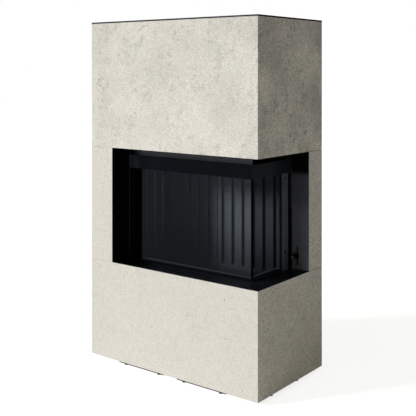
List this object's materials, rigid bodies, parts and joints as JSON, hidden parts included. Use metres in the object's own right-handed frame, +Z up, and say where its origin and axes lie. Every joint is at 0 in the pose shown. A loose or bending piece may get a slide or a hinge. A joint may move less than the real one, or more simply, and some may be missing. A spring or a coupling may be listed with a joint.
{
  "type": "corner fireplace",
  "caption": "Tall stone-clad casing with a recessed black corner fire insert, a counterbalanced lift-up glass door, fluted lining and a sliding air control.",
  "frame": {"origin": "on the floor under the centre of the casing's plan", "axes": "+X to the right as seen from the front, +Y to the back, +Z up"},
  "size_m": [1.15, 0.63, 1.92],
  "materials": {
    "stone_cladding": "pale cement-grey, matt, softly mottled",
    "black_steel": "satin black stove paint",
    "gloss_sill": "smooth black, half gloss",
    "frame_steel": "black primer",
    "galvanised": "zinc coated",
    "hot_steel": "matt heat-proof black",
    "lining": "dark fired concrete, satin",
    "door_glass": "clear ceramic pane",
    "seal": "black corner joint",
    "brass_shoe": "plain",
    "weight_steel": "mill-scale steel bar",
    "pulley_metal": "turned",
    "bright_steel": "zinc plated",
    "cable": "stranded wire",
    "knob": "black, heat-proof"
  },
  "bodies": {
    "root": {"front_upper_slab": "stone_cladding", "right_upper_slab": "stone_cladding", "left_upper_slab": "stone_cladding", "front_strip_slab": "stone_cladding", "right_strip_slab": "stone_cladding", "left_middle_slab": "stone_cladding", "front_lower_slab": "stone_cladding", "right_lower_slab": "stone_cladding", "left_lower_slab": "stone_cladding", "top_cover": "black_steel", "recess_left_reveal": "black_steel", "recess_rear_reveal": "black_steel", "recess_soffit": "black_steel", "header": "black_steel", "left_cheek": "black_steel", "rear_guide_cover": "black_steel", "hearth_frame": "black_steel", "foot_rails": "black_steel", "guide_rails": "black_steel", "recess_sill": "gloss_sill", "lower_frame": "frame_steel", "upper_frame": "frame_steel", "middle_posts": "frame_steel", "insert_stand": "frame_steel", "pulley_carriers": "frame_steel", "rear_cover": "galvanised", "air_box": "galvanised", "air_intake_collar": "galvanised", "firebox_shell": "hot_steel", "smoke_hood": "hot_steel", "flue_collar": "hot_steel", "back_lining_left": "lining", "back_lining_right": "lining", "left_lining": "lining", "hearth_floor": "lining", "baffle": "lining", "pulley_axles": "bright_steel", "levelling_feet": "bright_steel", "cover_screws": "bright_steel", "top_cables": "cable", "door_cables": "cable", "weight_cables": "cable"},
    "door": {"front_glass": "door_glass", "side_glass": "door_glass", "corner_seal": "seal", "door_top_rail": "black_steel", "door_bottom_channel": "black_steel", "door_left_stile": "black_steel", "door_rear_stile": "black_steel", "guide_shoes": "brass_shoe"},
    "left_weight": {"left_counterweight": "weight_steel"},
    "right_weight": {"right_counterweight": "weight_steel"},
    "left_front_wheel": {"left_front_pulley": "pulley_metal"},
    "left_rear_wheel": {"left_rear_pulley": "pulley_metal"},
    "right_wheel": {"right_pulley": "pulley_metal"},
    "air_control": {"air_knob": "knob", "air_rod": "bright_steel", "air_gate": "galvanised"}
  },
  "joints": [
    {"name": "door_lift", "type": "slide", "parent": "root", "child": "door", "axis": [0, 0, 1], "range_m": [0, 0.485], "deforming": ["door_cables"]},
    {"name": "left_weight_slide", "type": "slide", "parent": "root", "child": "left_weight", "axis": [0, 0, 1], "range_m": [-0.485, 0], "deforming": ["weight_cables"]},
    {"name": "right_weight_slide", "type": "slide", "parent": "root", "child": "right_weight", "axis": [0, 0, 1], "range_m": [-0.485, 0]},
    {"name": "left_front_pulley_turn", "type": "hinge", "parent": "root", "child": "left_front_wheel", "pos_m": [-0.375, -0.142, 1.78], "axis": [-1, 0, 0], "range_deg": [0, 695]},
    {"name": "left_rear_pulley_turn", "type": "hinge", "parent": "root", "child": "left_rear_wheel", "pos_m": [-0.375, 0.185, 1.78], "axis": [-1, 0, 0], "range_deg": [0, 695]},
    {"name": "right_pulley_turn", "type": "hinge", "parent": "root", "child": "right_wheel", "pos_m": [0.45, 0.155, 1.78], "axis": [-1, 0, 0], "range_deg": [0, 398]},
    {"name": "air_slide", "type": "slide", "parent": "root", "child": "air_control", "axis": [0, 0, 1], "range_m": [-0.045, 0.045]}
  ],
  "couplings": [
    {"joint": "left_weight_slide", "follows": "door_lift", "ratio": -1},
    {"joint": "right_weight_slide", "follows": "door_lift", "ratio": -1},
    {"joint": "left_front_pulley_turn", "follows": "door_lift", "rad_per_m": 25},
    {"joint": "left_rear_pulley_turn", "follows": "door_lift", "rad_per_m": 25},
    {"joint": "right_pulley_turn", "follows": "door_lift", "rad_per_m": 14.286}
  ]
}
